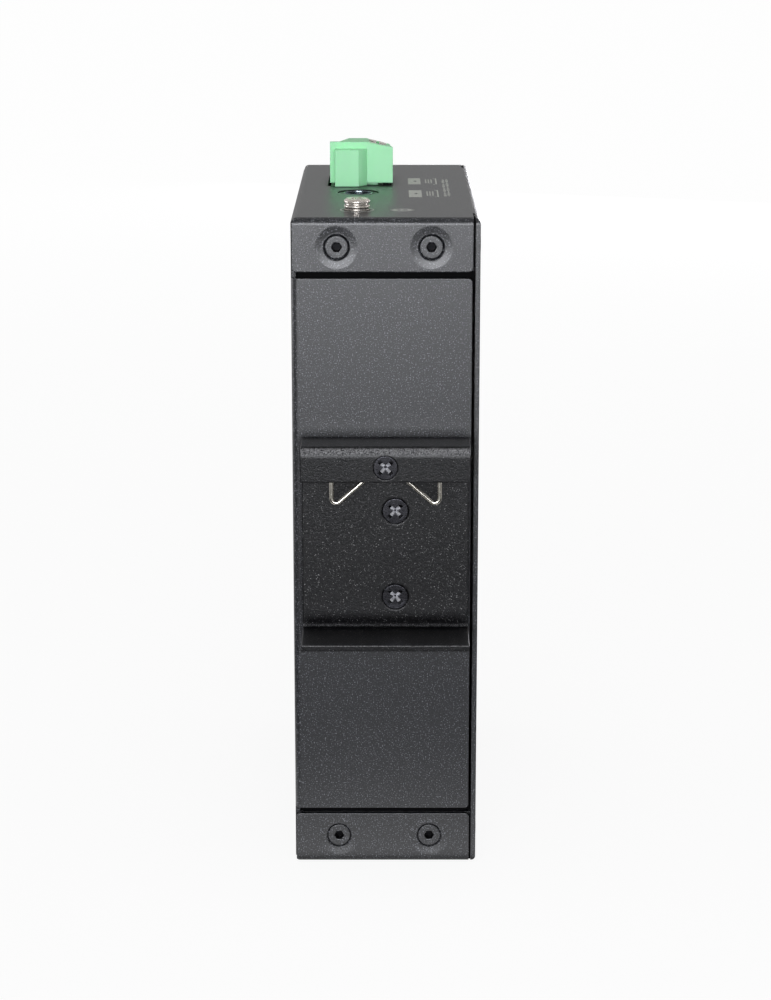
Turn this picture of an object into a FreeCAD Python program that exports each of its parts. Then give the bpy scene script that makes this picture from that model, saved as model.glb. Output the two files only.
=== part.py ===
import FreeCAD, Part
import math
import os
import re
import Sketcher
from FreeCAD import Placement, Rotation, Vector

# Industrial network switch with powered ports, in millimetres.
# +X is to the right as seen from behind, +Y is from the rear panel to the ports, +Z is up.
# The origin is on the underside, at the middle of the case.

doc = FreeCAD.newDocument("poe_switch")

# Driving sizes, each one a plain number in the sheet
sizes = {
    "case_width": 38.0,
    "case_depth": 92.0,
    "case_height": 137.0,
    "wall": 1.0,
    "bend_radius": 1.4,
    "sheet_gap": 0.2,
    "flange_height": 10.9,
    "slit_height": 1.3,
    "flange_inset": 0.2,
    "side_gap": 0.55,
    "relief_width": 0.4,
    "relief_length": 7.0,
    "corner_radius": 0.9,
    "flange_screw_spacing": 19.0,
    "flange_screw_offset": -0.3,
    "flange_screw_rise": 5.95,
    "side_screw_setback": 7.0,
    "screw_radius": 1.5,
    "thread_gap": 0.05,
    "hole_gap": 0.25,
    "sink_radius": 2.95,
    "dish_radius": 4.3,
    "dish_depth": 0.18,
    "head_radius": 2.35,
    "head_depth": 0.9,
    "head_recess": 0.3,
    "side_head_proud": 0.2,
    "hex_socket": 1.05,
    "hex_depth": 2.0,
    "cross_reach": 1.9,
    "screw_length": 5.0,
    "nut_radius": 2.75,
    "nut_height": 1.8,
    "bracket_inset": 2.0,
    "bracket_sheet": 1.2,
    "bracket_bend": 2.0,
    "hook_top": 92.5,
    "hook_reach": 11.2,
    "lip_height": 7.0,
    "shelf_top": 52.5,
    "shelf_reach": 14.7,
    "bracket_screw_side": 2.0,
    "bracket_screw_upper": 77.0,
    "bracket_screw_lower": 58.8,
    "bracket_head_radius": 2.6,
    "hook_head_radius": 2.4,
    "hook_screw_drop": 4.05,
    "wire_radius": 0.45,
    "wire_bend": 1.0,
    "spring_inset": 6.15,
    "spring_tip_rise": 80.9,
    "spring_leg_offset": 1.64,
    "ground_side": -5.8,
    "ground_from_rear": 12.1,
    "ground_head_radius": 2.4,
    "ground_head_height": 1.3,
    "ground_head_chamfer": 0.25,
    "ground_washer_radius": 2.7,
    "ground_washer_sheet": 0.4,
    "ground_spring_sheet": 0.7,
    "socket_side": -5.86,
    "socket_gap": 4.0,
    "socket_hole_radius": 4.45,
    "socket_nose_radius": 4.2,
    "socket_bore_radius": 3.15,
    "socket_bore_depth": 9.0,
    "socket_pin_radius": 1.05,
    "socket_body_side": 9.4,
    "socket_body_height": 12.5,
    "pole_count": 3,
    "pole_pitch": 5.08,
    "plug_width": 13.7,
    "plug_from_front": 23.6,
    "plug_end_wall": 0.68,
    "plug_lift": 0.6,
    "plug_rise": 7.1,
    "plug_crown": 0.87,
    "plug_shoulder": 1.45,
    "plug_crown_start": 3.9,
    "plug_crown_end": 7.8,
    "plug_edge_drop": 1.2,
    "plug_edge_fall": 0.42,
    "plug_edge_width": 0.75,
    "plug_gate_sheet": 1.0,
    "plug_gate_rise": 1.8,
    "plug_gate_fall": 1.2,
    "plug_key_width": 5.12,
    "plug_key_flare": 1.8,
    "plug_key_depth": 2.8,
    "plug_key_left": 1.15,
    "plug_key_lift": 0.1,
    "plug_key_height": 7.9,
    "plug_overhang": 2.1,
    "clamp_screw_radius": 2.0,
    "clamp_screw_proud": 0.2,
    "clamp_screw_length": 3.6,
    "clamp_slot_width": 0.6,
    "clamp_slot_depth": 0.7,
    "wire_entry": 3.0,
    "plug_tongue": 6.0,
    "header_wall": 0.9,
    "header_width": 11.5,
    "header_depth": 7.8,
    "header_drop": 1.2,
    "pin_side": 0.8,
    "cutout_gap": 0.5,
    "cutout_cover": 0.4,
    "cutout_front_gap": 0.6,
    "cutout_key_gap": 0.8,
    "board_sheet": 1.6,
    "board_standoff": 4.3,
    "board_edge_gap": 3.0,
    "standoff_radius": 2.5,
    "standoff_setback": 9.0,
    "port_count": 5,
    "port_gap": 1.2,
    "port_body_width": 15.6,
    "port_body_height": 13.0,
    "port_body_length": 20.6,
    "port_mouth_width": 11.8,
    "port_mouth_height": 6.9,
    "port_latch_width": 6.2,
    "port_latch_height": 2.0,
    "port_depth": 14.0,
    "port_proud": 0.6,
    "port_lift": 2.2,
    "shield_sheet": 0.3,
    "panel_cut_gap": 0.3,
    "contact_count": 8,
    "contact_pitch": 1.02,
    "contact_width": 0.4,
    "contact_sheet": 0.5,
    "contact_setback": 2.0,
    "port_light_width": 2.0,
    "port_light_height": 3.0,
    "port_light_depth": 4.0,
    "port_light_edge": 0.7,
    "light_count": 3,
    "light_radius": 1.5,
    "light_gap": 6.0,
    "light_depth": 6.0,
    "transformer_rise": 5.5,
    "transformer_depth": 8.0,
    "transformer_gap": 3.0,
    "chip_side": 16.0,
    "chip_rise": 1.4,
    "sink_side": 20.0,
    "sink_rise": 9.0,
    "sink_base": 2.0,
    "fin_count": 7,
    "fin_width": 1.5,
    "power_chip_side": 9.0,
    "power_chip_rise": 1.2,
    "coil_count": 2,
    "coil_side": 11.0,
    "coil_rise": 6.0,
    "coil_corner": 2.0,
    "can_count": 3,
    "can_radius": 5.0,
    "can_length": 14.0,
    "can_chamfer": 0.6,
    "component_gap": 2.0,
}

# Places worked out from the sizes
places = {
    "rear": "-case_depth / 2",
    "front": "case_depth / 2",
    "left": "-case_width / 2",
    "right": "case_width / 2",
    "panel_right": "case_width / 2 - wall - side_gap",
    "panel_low": "flange_height + slit_height",
    "panel_high": "case_height - flange_height - slit_height",
    "tab_outer": "wall + sheet_gap",
    "tab_inner": "2 * wall + sheet_gap",
    "tab_left": "-case_width / 2 + wall / 2",
    "tab_right": "case_width / 2 - wall - sheet_gap / 2",
    "hole_radius": "screw_radius + hole_gap",
    "nut_bore": "screw_radius + thread_gap",
    "bracket_width": "case_width - 2 * bracket_inset",
    "spring_half_width": "case_width / 2 - bracket_inset - spring_inset",
    "bracket_face": "-case_depth / 2 - bracket_sheet",
    "lip_outer": "-case_depth / 2 - hook_reach",
    "lip_inner": "-case_depth / 2 - hook_reach + bracket_sheet",
    "hook_under": "hook_top - bracket_sheet",
    "hook_screw_rise": "hook_top - hook_screw_drop",
    "plug_left": "-case_width / 2 + wall + board_standoff + board_sheet",
    "plug_low": "case_height + plug_lift",
    "plug_rear": "case_depth / 2 - plug_from_front - pole_count * pole_pitch - 2 * plug_end_wall",
    "plug_length": "pole_count * pole_pitch + 2 * plug_end_wall",
    "plug_front": "case_depth / 2 - plug_from_front",
    "plug_right": "-case_width / 2 + wall + board_standoff + board_sheet + plug_width",
    "header_middle": "-case_width / 2 + wall + board_standoff + board_sheet + header_width / 2",
    "tongue_rear": "case_depth / 2 - plug_from_front - pole_count * pole_pitch - 2 * plug_end_wall"
                   " + plug_overhang",
    "header_rear": "case_depth / 2 - plug_from_front - pole_count * pole_pitch - 2 * plug_end_wall"
                   " + plug_overhang - sheet_gap - header_wall",
    "header_top": "case_height - header_drop",
    "header_floor": "case_height - header_drop - header_depth",
    "board_left": "-case_width / 2 + wall + board_standoff",
    "board_right": "-case_width / 2 + wall + board_standoff + board_sheet",
    "board_rear": "-case_depth / 2 + 2 * wall + sheet_gap + board_edge_gap",
    "board_front": "case_depth / 2 - 2 * wall - sheet_gap - board_edge_gap",
    "board_low": "wall + board_edge_gap",
    "board_high": "case_height - wall - board_edge_gap",
    "port_face": "case_depth / 2 + port_proud",
    "port_back": "case_depth / 2 + port_proud - port_body_length",
    "port_pitch": "port_body_width + 2 * shield_sheet + port_gap",
    "component_low": "wall + board_edge_gap + 2 * standoff_setback",
    "socket_low": "case_height - wall - sheet_gap - socket_body_height",
    "port_left": "-case_width / 2 + wall + board_standoff + board_sheet + shield_sheet",
    "standoff_low": "wall + board_edge_gap + standoff_setback",
    "standoff_high": "case_height - wall - board_edge_gap - standoff_setback",
}

AXES = {
    "X": Rotation(Vector(0, 1, 0), 90),
    "Y": Rotation(Vector(1, 0, 0), -90),
    "Z": Rotation(),
    "-X": Rotation(Vector(0, 1, 0), -90),
    "-Y": Rotation(Vector(1, 0, 0), 90),
    "-Z": Rotation(Vector(1, 0, 0), 180),
}

LIGHT_SIDE = "port_left + port_body_height + light_gap"
SOCKET_ALONG = "plug_rear - plug_key_depth - socket_gap - socket_body_side / 2"
PAST = 1.0
SMALL = 0.001


def bound(text):
    """Turn the plain names of a formula into cells of the two sheets."""
    def cell(match):
        word = match.group()
        if word in sizes:
            return "Sizes." + word
        return "Places." + word if word in places else word
    return re.sub(r"[a-z][a-z_]*", cell, str(text))


def make_sheet(name, rows, formula):
    sheet = doc.addObject("Spreadsheet::Sheet", name)
    for row, (alias, content) in enumerate(rows.items(), start=1):
        sheet.set("A%d" % row, alias)
        sheet.set("B%d" % row, "=" + bound(content) if formula else str(content))
        sheet.setAlias("B%d" % row, alias)
    doc.recompute()
    return sheet


sizes_sheet = make_sheet("Sizes", sizes, False)
places_sheet = make_sheet("Places", places, True)


def size(name):
    sheet = sizes_sheet if name in sizes else places_sheet
    return float(sheet.get(name))


def put(thing, at, axis="Z"):
    """Bind a thing's place to formulas and point its own Z along an axis."""
    thing.Placement = Placement(Vector(), AXES[axis])
    for letter, text in zip("xyz", at):
        thing.setExpression("Placement.Base." + letter, bound(text))
    return thing


def block(name, at, extent):
    thing = doc.addObject("Part::Box", name)
    for side, text in zip(("Length", "Width", "Height"), extent):
        thing.setExpression(side, bound(text))
    return put(thing, at)


def rod(name, at, radius, length, axis="Z"):
    thing = doc.addObject("Part::Cylinder", name)
    thing.setExpression("Radius", bound(radius))
    thing.setExpression("Height", bound(length))
    return put(thing, at, axis)


def cone(name, at, radius, end_radius, length, axis="Z"):
    thing = doc.addObject("Part::Cone", name)
    thing.setExpression("Radius1", bound(radius))
    thing.setExpression("Radius2", bound(end_radius))
    thing.setExpression("Height", bound(length))
    return put(thing, at, axis)


def prism(name, at, sides, radius, length, axis="Z"):
    thing = doc.addObject("Part::Prism", name)
    thing.Polygon = sides
    thing.setExpression("Circumradius", bound(radius))
    thing.setExpression("Height", bound(length))
    return put(thing, at, axis)


def join(name, things):
    thing = doc.addObject("Part::MultiFuse", name)
    thing.Shapes = things
    thing.Refine = True
    return thing


def group(name, things):
    thing = doc.addObject("Part::Compound", name)
    thing.Links = things
    return thing


def carve(name, base, tools):
    thing = doc.addObject("Part::Cut", name)
    thing.Base = base
    thing.Tool = tools[0] if len(tools) == 1 else group(name + "_tools", tools)
    return thing


def soften(name, base, radius, chosen):
    """Round the edges of a thing that a test chooses."""
    doc.recompute()
    thing = doc.addObject("Part::Fillet", name)
    thing.Base = base
    edges = enumerate(base.Shape.Edges, start=1)
    thing.Edges = [(number, radius, radius) for number, edge in edges if chosen(edge)]
    return thing


def runs(edge, letter):
    """Say whether a straight edge runs along an axis."""
    if not isinstance(edge.Curve, Part.Line):
        return False
    return abs(getattr(edge.Curve.Direction, letter)) > 1 - SMALL


def close(value, *targets):
    return any(abs(value - target) < SMALL for target in targets)


nodes = []


def node(thing, name):
    thing.Label = name
    nodes.append(thing)
    return thing


def flange_screw_places():
    """Give each flange screw as its X, its Z and the side of the case that it is on."""
    spots = []
    for side in (-1, 1):
        across = "flange_screw_offset + %d * flange_screw_spacing / 2" % side
        spots.append((across, "flange_screw_rise"))
        spots.append((across, "case_height - flange_screw_rise"))
    return spots


SIDE_SCREW_RISES = ("flange_screw_rise", "case_height - flange_screw_rise")
FACES = {"rear": ("rear", 1, "Y"), "front": ("front", -1, "-Y")}


def port_rise(number):
    return "case_height / 2 + (%d - (port_count - 1) / 2) * port_pitch" % number


def light_rise(number):
    return port_rise(int(size("port_count")) - 1 - number)


def pole_place(number):
    return "plug_rear + plug_end_wall + %g * pole_pitch" % (number + 0.5)


def make_cover():
    """Right wall, top and bottom in one sheet, with flanges folded over both ends."""
    half, depth, height = size("right"), size("front"), size("case_height")
    outer = block("cover_outer", ("left", "rear", "0"), ("case_width", "case_depth", "case_height"))
    outer = soften("cover_outer_bends", outer, size("bend_radius"),
                   lambda edge: runs(edge, "x") or runs(edge, "y"))
    inner = block("cover_inner", ("left - %g" % PAST, "rear + wall", "wall"),
                  ("case_width - wall + %g" % PAST, "case_depth - 2 * wall", "case_height - 2 * wall"))
    inner_right = half - size("wall")
    inner = soften("cover_inner_bends", inner, size("bend_radius") - size("wall"),
                   lambda edge: runs(edge, "x")
                   or (runs(edge, "y") and close(edge.CenterOfMass.x, inner_right)))
    cuts = [inner]
    cuts.append(block("cover_left_trim", ("left - %g" % PAST, "rear - %g" % PAST, "-%g" % PAST),
                      ("flange_inset + %g" % PAST, "case_depth + %g" % (2 * PAST),
                       "case_height + %g" % (2 * PAST))))
    for face, (plane, inward, axis) in FACES.items():
        start = "rear - %g" % PAST if face == "rear" else "front - bend_radius"
        cuts.append(block("cover_%s_window" % face, ("left - %g" % PAST, start, "flange_height"),
                          ("case_width - wall + %g" % PAST, "bend_radius + %g" % PAST,
                           "case_height - 2 * flange_height")))
        start = "rear - %g" % PAST if face == "rear" else "front - relief_length"
        for end, low in (("low", "-%g" % PAST), ("high", "case_height - flange_height - %g" % PAST)):
            cuts.append(block("cover_%s_%s_relief" % (face, end),
                              ("right - wall - relief_width", start, low),
                              ("relief_width", "relief_length + %g" % PAST,
                               "flange_height + %g" % (2 * PAST))))
        for number, (across, rise) in enumerate(flange_screw_places()):
            cuts.append(cone("cover_%s_dish_%d" % (face, number), (across, plane, rise),
                             "dish_radius", "sink_radius", "dish_depth", axis))
            cuts.append(cone("cover_%s_sink_%d" % (face, number), (across, plane, rise),
                             "sink_radius", "hole_radius", "wall", axis))
        setback = "%s + %d * side_screw_setback" % (plane, inward)
        for number, rise in enumerate(SIDE_SCREW_RISES):
            cuts.append(cone("cover_%s_side_sink_%d" % (face, number), ("right", setback, rise),
                             "sink_radius", "hole_radius", "wall", "-X"))
    top = "case_height - wall - %g" % PAST
    through = "wall + %g" % (2 * PAST)
    cuts.append(rod("cover_ground_hole", ("ground_side", "rear + ground_from_rear", top),
                    "hole_radius", through))
    cuts.append(rod("cover_socket_hole", ("socket_side", SOCKET_ALONG, top),
                    "socket_hole_radius", through))
    cuts.append(block("cover_header_cutout",
                      ("plug_left - cutout_gap", "tongue_rear - sheet_gap", top),
                      ("plug_width + cutout_gap - cutout_cover",
                       "plug_front - tongue_rear + sheet_gap + cutout_front_gap", through)))
    cuts.append(block("cover_key_cutout",
                      ("plug_left - cutout_gap", "plug_rear - cutout_key_gap", top),
                      ("plug_key_left + plug_key_width + plug_key_flare + cutout_gap",
                       "plug_overhang + cutout_key_gap", through)))
    sheet = carve("cover_sheet", outer, cuts)
    free_low, free_high = size("flange_height"), height - size("flange_height")
    corner_sides = (-half + size("flange_inset"), half - size("wall") - size("relief_width"))
    cover = soften("cover_corners", sheet, size("corner_radius"),
                   lambda edge: runs(edge, "y")
                   and close(edge.CenterOfMass.z, free_low, free_high)
                   and close(edge.CenterOfMass.x, *corner_sides)
                   and abs(edge.CenterOfMass.y) > depth - size("wall"))
    node(cover, "cover")


def press_nut(name, at, axis):
    return carve(name, prism(name + "_collar", at, 8, "nut_radius", "nut_height", axis),
                 [rod(name + "_bore", at, "nut_bore", "nut_height", axis)])


def make_chassis():
    """Left wall, rear panel and port panel in one sheet, with tabs behind the flanges."""
    outer = block("chassis_outer", ("left", "rear", "wall + sheet_gap / 2"),
                  ("panel_right - left", "case_depth", "case_height - 2 * wall - sheet_gap"))
    outer = soften("chassis_outer_bends", outer, size("bend_radius"),
                   lambda edge: runs(edge, "z") and close(edge.CenterOfMass.x, size("left")))
    inner = block("chassis_inner", ("left + wall", "rear + wall", "0"),
                  ("case_width", "case_depth - 2 * wall", "case_height"))
    inner = soften("chassis_inner_bends", inner, size("bend_radius") - size("wall"),
                   lambda edge: runs(edge, "z")
                   and close(edge.CenterOfMass.x, size("left") + size("wall")))
    cuts = [inner]
    for face in FACES:
        start = "rear - %g" % PAST if face == "rear" else "front - tab_outer"
        for end, low in (("low", "-%g" % PAST), ("high", "panel_high")):
            cuts.append(block("chassis_%s_%s_step" % (face, end), ("left - %g" % PAST, start, low),
                              ("case_width + %g" % (2 * PAST), "tab_outer + %g" % PAST,
                               "panel_low + %g" % PAST)))
    sheet = carve("chassis_channel", outer, cuts)
    sheet = soften("chassis_corners", sheet, size("corner_radius"),
                   lambda edge: runs(edge, "y")
                   and close(edge.CenterOfMass.x, size("panel_right"))
                   and close(edge.CenterOfMass.z, size("panel_low"), size("panel_high")))
    pieces = [sheet]
    holes, nuts = [], []
    for face, (plane, inward, axis) in FACES.items():
        near = "rear + tab_outer" if face == "rear" else "front - tab_inner"
        ear = "rear + tab_outer" if face == "rear" else "front - tab_outer - 2 * side_screw_setback"
        for end, low in (("low", "wall + sheet_gap"), ("high", "case_height - flange_height")):
            pieces.append(block("chassis_%s_%s_tab" % (face, end), ("tab_left", near, low),
                                ("tab_right - tab_left", "wall",
                                 "flange_height - wall - sheet_gap")))
            pieces.append(block("chassis_%s_%s_ear" % (face, end), ("tab_right - wall", ear, low),
                                ("wall", "2 * side_screw_setback",
                                 "flange_height - wall - sheet_gap")))
        start = "%s + %d * (tab_inner + %g)" % (plane, inward, PAST)
        back = "-Y" if face == "rear" else "Y"
        seat = "%s + %d * tab_inner" % (plane, inward)
        for number, (across, rise) in enumerate(flange_screw_places()):
            nuts.append(press_nut("%s_nut_%d" % (face, number), (across, seat, rise), axis))
            holes.append(rod("chassis_%s_hole_%d" % (face, number), (across, start, rise),
                             "hole_radius", "tab_inner + %g" % (2 * PAST), back))
        setback = "%s + %d * side_screw_setback" % (plane, inward)
        for number, rise in enumerate(SIDE_SCREW_RISES):
            nuts.append(press_nut("%s_side_nut_%d" % (face, number),
                                  ("tab_right - wall", setback, rise), "-X"))
            holes.append(rod("chassis_%s_side_hole_%d" % (face, number), ("right", setback, rise),
                             "hole_radius", "4 * wall", "-X"))
    for number, rise in enumerate(("bracket_screw_upper", "bracket_screw_lower")):
        nuts.append(press_nut("bracket_nut_%d" % number, ("bracket_screw_side", "rear + wall", rise),
                              "Y"))
        holes.append(rod("chassis_bracket_hole_%d" % number,
                         ("bracket_screw_side", "rear - %g" % PAST, rise),
                         "hole_radius", "wall + %g" % (2 * PAST), "Y"))
    node(group("press_nuts_group", nuts), "press_nuts")
    for number, (along, rise) in enumerate(standoff_places()):
        holes.append(rod("chassis_standoff_hole_%d" % number, ("left - %g" % PAST, along, rise),
                         "standoff_radius - 0.5", "wall + %g" % (2 * PAST), "X"))
    for number in range(int(size("port_count"))):
        middle = port_rise(number)
        holes.append(block("chassis_port_cut_%d" % number,
                           ("port_left - shield_sheet - panel_cut_gap", "front - %g" % (2 * PAST),
                            middle + " - port_body_width / 2 - shield_sheet - panel_cut_gap"),
                           ("port_body_height + 2 * (shield_sheet + panel_cut_gap)",
                            "4 * wall", "port_body_width + 2 * (shield_sheet + panel_cut_gap)")))
    for number in range(int(size("light_count"))):
        holes.append(rod("chassis_light_hole_%d" % number,
                         (LIGHT_SIDE, "front - %g" % (2 * PAST), light_rise(number)),
                         "light_radius + sheet_gap / 2", "4 * wall", "Y"))
    node(carve("chassis_holed", join("chassis_joined", pieces), holes), "chassis")


def standoff_places():
    """Give each standoff as its Y and its Z on the left wall."""
    return [(along, rise)
            for along in ("board_rear + standoff_setback", "plug_rear - plug_key_depth / 2")
            for rise in ("standoff_low", "standoff_high")]


def outline(body, name, plane, offset, points):
    """Draw a closed outline whose every corner is bound to formulas."""
    sketch = body.newObject("Sketcher::SketchObject", name)
    for feature in body.Origin.OriginFeatures:
        if feature.Role == plane:
            sketch.AttachmentSupport = (feature, "")
    sketch.MapMode = "FlatFace"
    sketch.setExpression("AttachmentOffset.Base.z", bound(offset))
    rough = [Vector(math.cos(turn), math.sin(turn), 0) * 50
             for turn in [2 * math.pi * number / len(points) for number in range(len(points))]]
    for number, start in enumerate(rough):
        sketch.addGeometry(Part.LineSegment(start, rough[(number + 1) % len(points)]))
    for number in range(len(points)):
        following = (number + 1) % len(points)
        sketch.addConstraint(Sketcher.Constraint("Coincident", number, 2, following, 1))
    for number, (across, rise) in enumerate(points):
        for kind, text in (("DistanceX", across), ("DistanceY", rise)):
            start = rough[number].x if kind == "DistanceX" else rough[number].y
            index = sketch.addConstraint(Sketcher.Constraint(kind, -1, 1, number, 1, start))
            sketch.setExpression("Constraints[%d]" % index, bound(text))
    return sketch


def make_bracket():
    """Rail bracket folded from one strip: hook above, flat base, shelf below."""
    body = doc.addObject("PartDesign::Body", "bracket_body")
    face, lip_in, lip_out = "bracket_face", "lip_inner", "lip_outer"
    shelf_end, shelf_low = "rear - shelf_reach", "shelf_top - bracket_sheet"
    lip_low = "hook_top - lip_height"
    profile = outline(body, "bracket_profile", "YZ_Plane", "-bracket_width / 2", [
        ("rear", "hook_top"), ("rear", shelf_low), (shelf_end, shelf_low), (shelf_end, "shelf_top"),
        (face, "shelf_top"), (face, "hook_under"), (lip_in, "hook_under"), (lip_in, lip_low),
        (lip_out, lip_low), (lip_out, "hook_top")])
    pad = body.newObject("PartDesign::Pad", "bracket_strip")
    pad.Profile = profile
    pad.setExpression("Length", bound("bracket_width"))
    doc.recompute()
    outer = (("rear", "hook_top"), ("lip_outer", "hook_top"))
    outer = [(size(across), size(rise)) for across, rise in outer]
    outer.append((size("rear"), size("shelf_top") - size("bracket_sheet")))
    inner = [(size("bracket_face"), size("shelf_top")), (size("bracket_face"), size("hook_under")),
             (size("lip_inner"), size("hook_under"))]
    bends = round_body(body, pad, "bracket_outer_bends", "bracket_bend",
                       lambda edge: along_strip(edge, outer))
    bends = round_body(body, bends, "bracket_inner_bends", "bracket_bend - bracket_sheet",
                       lambda edge: along_strip(edge, inner))
    cuts = []
    for number, rise in enumerate(("bracket_screw_upper", "bracket_screw_lower")):
        cuts.append(cone("bracket_sink_%d" % number, ("bracket_screw_side", "bracket_face", rise),
                         "bracket_head_radius + hole_gap", "hole_radius", "bracket_sheet", "Y"))
    cuts.append(cone("bracket_lip_sink", ("0", "lip_outer", "hook_screw_rise"),
                     "hook_head_radius + hole_gap / 2", "hole_radius", "bracket_sheet", "Y"))
    node(carve("bracket_drilled", body, cuts), "din_bracket")


def along_strip(edge, corners):
    middle = edge.CenterOfMass
    return runs(edge, "x") and any(close(middle.y, y) and close(middle.z, z) for y, z in corners)


def round_body(body, base, name, radius, chosen):
    """Add a fillet to a body on the edges that a test chooses."""
    fillet = body.newObject("PartDesign::Fillet", name)
    edges = enumerate(base.Shape.Edges, start=1)
    fillet.Base = (base, ["Edge%d" % number for number, edge in edges if chosen(edge)])
    fillet.setExpression("Radius", bound(radius))
    body.Tip = fillet
    doc.recompute()
    return fillet


def bent_wire(radius, first, middle, last):
    """Give the ring segment that a round wire fills along an arc through three points."""
    centre = Part.Arc(first, middle, last).toShape().Curve.Center
    axis = (first - centre).cross(middle - centre).normalize()
    turn = math.degrees((first - centre).getAngle(last - centre))
    if (first - centre).cross(last - centre).dot(axis) < 0:
        turn = 360 - turn
    tangent = axis.cross(first - centre)
    disc = Part.Face(Part.Wire([Part.Circle(first, tangent, radius).toShape()]))
    return disc.revolve(centre, axis, turn)


def make_spring():
    """One wire with a V tip at each side, looped over the screw behind the hook's lip."""
    wire_radius, bend = size("wire_radius"), size("wire_bend")
    plane = size("lip_inner") + wire_radius
    top = size("hook_under") - size("bracket_bend") + size("bracket_sheet") - size("sheet_gap")
    loop = size("screw_radius") + size("thread_gap") + wire_radius
    side, low = size("spring_half_width"), size("spring_tip_rise")
    screw = Vector(0, plane, size("hook_screw_rise"))
    tip_centre = Vector(side - bend, plane, low + bend)
    span = (screw - tip_centre).Length
    slope = (math.atan2(screw.z - tip_centre.z, tip_centre.x)
             + math.asin(size("spring_leg_offset") / span))
    up = Vector(0, 0, 1)
    inward = Vector(-math.cos(slope), 0, math.sin(slope))
    across = Vector(math.sin(slope), 0, math.cos(slope))

    # The V tip: an arc between the upright outer leg and the sloping inner leg
    leg_start = Vector(side, plane, low + bend)
    tip = Vector(side - bend, plane, low)
    leg_end = tip_centre - across * bend

    # The neck: a small arc that turns the inner leg on to the loop around the screw
    above = (screw - leg_end).dot(across)
    along = (screw - leg_end).dot(inward)
    reach = along - math.sqrt((loop + bend) ** 2 - (bend - above) ** 2)
    neck_centre = leg_end + inward * reach + across * bend
    neck_start = neck_centre - across * bend
    toward = (neck_centre - screw).normalize()
    neck_end = screw + toward * loop
    neck_middle = neck_centre - (across + toward).normalize() * bend
    crown = screw + up * loop

    def mirrored(point):
        return Vector(-point.x, point.y, point.z)

    start = Vector(side, plane, top)
    half = [("line", start, leg_start), ("arc", leg_start, tip, leg_end),
            ("line", leg_end, neck_start), ("arc", neck_start, neck_middle, neck_end)]
    other = [(kind,) + tuple(mirrored(point) for point in reversed(points))
             for kind, *points in reversed(half)]
    lengths = []
    for kind, *points in half + [("arc", neck_end, crown, mirrored(neck_end))] + other:
        if kind == "line":
            first, last = points
            lengths.append(Part.makeCylinder(wire_radius, (last - first).Length, first, last - first))
        else:
            lengths.append(bent_wire(wire_radius, *points))
    thing = doc.addObject("Part::Feature", "spring_wire")
    thing.Shape = lengths[0].multiFuse(lengths[1:])
    node(thing, "rail_spring")


def sunk_screw(name, at, head, length, axis, recess):
    """Flat-headed machine screw whose head face lies at the given place."""
    head_cone = cone(name + "_head", at, head, "screw_radius", "head_depth", axis)
    shank = rod(name + "_shank", at, "screw_radius", length, axis)
    return carve(name, join(name + "_blank", [head_cone, shank]), recess)


def hex_recess(name, at, axis):
    return [prism(name + "_socket", at, 6, "hex_socket", "hex_depth", axis)]


def cross_recess(name, at, radius, axis):
    """Four-armed driver recess that narrows to a point, with its arms at 45 degrees."""
    arms = []
    for number, turn in enumerate((45, 135)):
        arm = doc.addObject("Part::Wedge", "%s_arm_%d" % (name, number))
        limits = {"Xmin": "-%s" % radius, "Xmax": radius, "X2min": "-%s / 3" % radius,
                  "X2max": "%s / 3" % radius, "Zmin": "-%s / 5" % radius, "Zmax": "%s / 5" % radius,
                  "Z2min": "-%s / 8" % radius, "Z2max": "%s / 8" % radius, "Ymin": "0",
                  "Ymax": "head_depth"}
        for side, text in limits.items():
            arm.setExpression(side, bound(text))
        turned = AXES[axis].multiply(Rotation(Vector(0, 0, 1), turn))
        arm.Placement = Placement(Vector(), turned.multiply(Rotation(Vector(1, 0, 0), 90)))
        for letter, text in zip("xyz", at):
            arm.setExpression("Placement.Base." + letter, bound(text))
        arms.append(arm)
    return arms


def make_fasteners():
    """Flange, side and bracket screws, and the screw and nut that hold the rail spring."""
    for face, (plane, inward, axis) in FACES.items():
        screws = []
        head = "%s + %d * head_recess" % (plane, inward)
        for number, (across, rise) in enumerate(flange_screw_places()):
            name = "%s_flange_screw_%d" % (face, number)
            at = (across, head, rise)
            screws.append(sunk_screw(name, at, "head_radius", "screw_length", axis,
                                     hex_recess(name, at, axis)))
        node(group(face + "_flange_screws_group", screws), face + "_flange_screws")
    screws = []
    for face, (plane, inward, axis) in FACES.items():
        setback = "%s + %d * side_screw_setback" % (plane, inward)
        for number, rise in enumerate(SIDE_SCREW_RISES):
            name = "%s_side_screw_%d" % (face, number)
            at = ("right + side_head_proud", setback, rise)
            screws.append(sunk_screw(name, at, "head_radius", "screw_length", "-X",
                                     hex_recess(name, at, "-X")))
    node(group("side_screws_group", screws), "side_screws")
    screws = []
    for number, rise in enumerate(("bracket_screw_upper", "bracket_screw_lower")):
        name = "bracket_screw_%d" % number
        at = ("bracket_screw_side", "bracket_face + head_recess / 2", rise)
        screws.append(sunk_screw(name, at, "bracket_head_radius", "screw_length", "Y",
                                 cross_recess(name, at, "cross_reach", "Y")))
    node(group("bracket_screws_group", screws), "bracket_screws")
    at = ("0", "lip_outer + head_recess / 4", "hook_screw_rise")
    hook = sunk_screw("hook_screw_turned", at, "hook_head_radius",
                      "bracket_sheet + 2 * wire_radius + nut_height", "Y",
                      cross_recess("hook_screw", at, "cross_reach", "Y"))
    node(hook, "hook_screw")
    seat = ("0", "lip_inner + 2 * wire_radius", "hook_screw_rise")
    nut = carve("hook_nut_bored", prism("hook_nut_hex", seat, 6, "nut_radius", "nut_height", "Y"),
                [rod("hook_nut_bore", seat, "nut_bore", "nut_height", "Y")])
    node(nut, "spring_nut")


def ring(name, at, radius, bore, height):
    return carve(name, rod(name + "_disc", at, radius, height), [rod(name + "_bore", at, bore, height)])


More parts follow.
